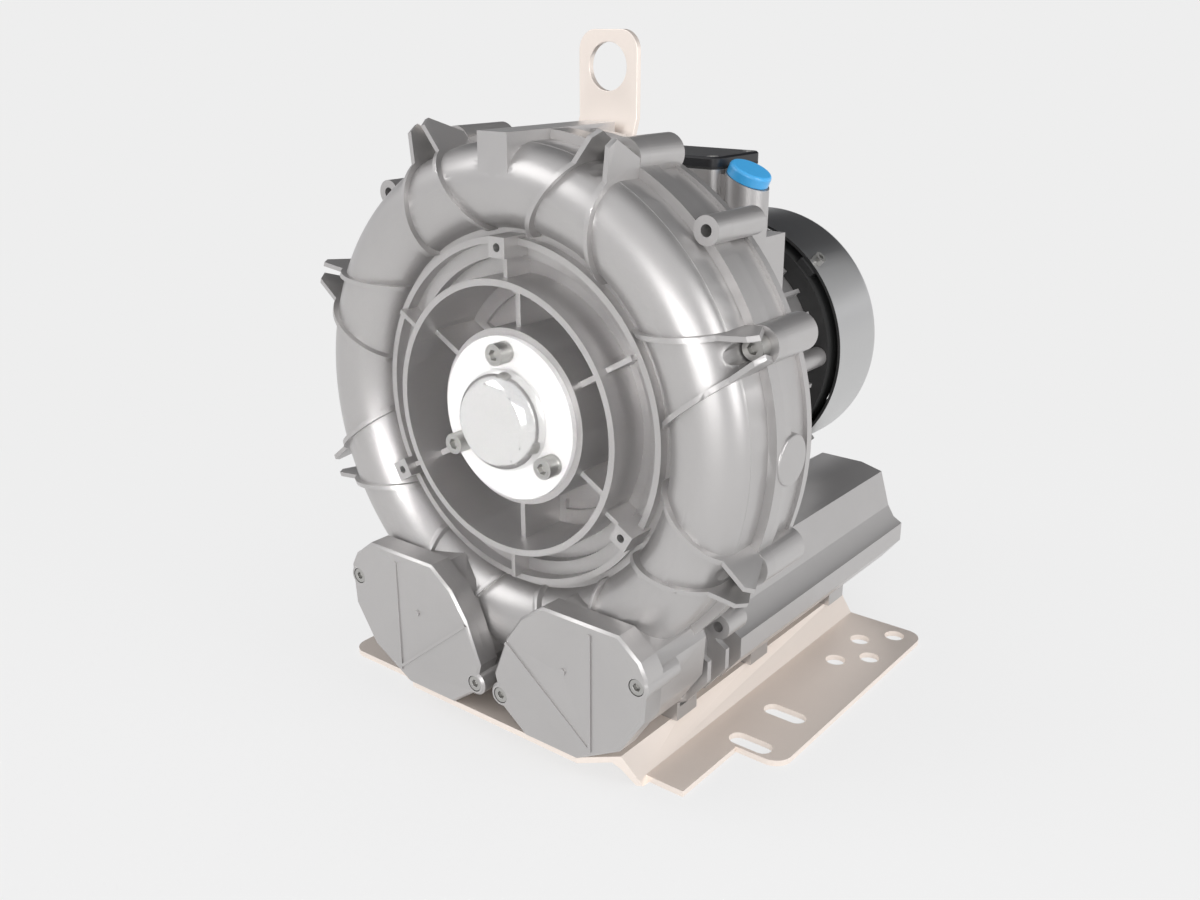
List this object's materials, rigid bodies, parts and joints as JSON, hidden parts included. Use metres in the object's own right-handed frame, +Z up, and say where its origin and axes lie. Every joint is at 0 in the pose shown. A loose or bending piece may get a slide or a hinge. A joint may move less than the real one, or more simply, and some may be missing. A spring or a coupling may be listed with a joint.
{
  "type": "side channel blower",
  "caption": "Side channel blower on a folded foot: cast ring housing with bolted cover, finned motor with fan cowl, terminal box, lifting lug and two silencers underneath.",
  "frame": {"origin": "on the floor, at the centre of the four slots in the foot", "axes": "+Y backwards along the shaft, from the cover to the motor; +Z up; +X to the right seen from the front"},
  "size_m": [0.3374, 0.356, 0.428],
  "materials": {
    "cast_aluminium": "satin cast",
    "turned_aluminium": "bright turned",
    "polished_cap": "polished",
    "plated_sheet": "warm zinc plated",
    "screw_steel": "zinc plated",
    "ground_steel": "ground",
    "cage_steel": "pressed",
    "seal_rubber": "matt",
    "core_steel": "laminated",
    "winding_copper": "enamelled",
    "fan_plastic": "matt",
    "cowl_metal": "light grey satin",
    "box_metal": "satin cast",
    "lid_plastic": "black",
    "plug_plastic": "blue",
    "stud_brass": "plain",
    "absorber_foam": "open foam"
  },
  "bodies": {
    "frame": {"bearing_cover": "turned_aluminium", "cover_screws": "screw_steel", "cover_seal": "seal_rubber", "cowl_screws": "screw_steel", "entry_plug": "plug_plastic", "fan_cowl": "cowl_metal", "foot_plate": "plated_sheet", "foot_screws": "screw_steel", "front_cover": "cast_aluminium", "front_outer_race": "ground_steel", "front_shaft_seal": "seal_rubber", "hub_cap": "polished_cap", "hub_screws": "screw_steel", "hub_washers": "screw_steel", "left_absorber": "absorber_foam", "left_port": "cast_aluminium", "left_silencer_cover": "cast_aluminium", "lid_screws": "screw_steel", "lifting_lug": "plated_sheet", "lug_screws": "screw_steel", "motor_flange_screws": "screw_steel", "motor_frame": "cast_aluminium", "port_screws": "screw_steel", "preload_spring": "screw_steel", "rear_housing": "cast_aluminium", "rear_outer_race": "ground_steel", "rear_shaft_seal": "seal_rubber", "rear_shield": "cast_aluminium", "right_absorber": "absorber_foam", "right_port": "cast_aluminium", "right_silencer_cover": "cast_aluminium", "shield_screws": "screw_steel", "silencer_cover_screws": "screw_steel", "stator_core": "core_steel", "stator_windings": "winding_copper", "terminal_block": "fan_plastic", "terminal_box": "box_metal", "terminal_gasket": "seal_rubber", "terminal_lid": "lid_plastic", "terminal_studs": "stud_brass"},
    "rotor": {"shaft": "ground_steel", "shaft_nut": "screw_steel", "lock_washer": "screw_steel", "impeller": "turned_aluminium", "impeller_key": "screw_steel", "rotor_core": "core_steel", "front_inner_race": "ground_steel", "front_bearing_balls": "ground_steel", "front_bearing_cage": "cage_steel", "rear_inner_race": "ground_steel", "rear_bearing_balls": "ground_steel", "rear_bearing_cage": "cage_steel", "fan": "fan_plastic", "fan_clip": "screw_steel"}
  },
  "joints": [
    {"name": "rotor_spin", "type": "hinge", "parent": "frame", "child": "rotor", "pos_m": [0, 0.05, 0.211], "axis": [0, 1, 0], "continuous": true}
  ]
}
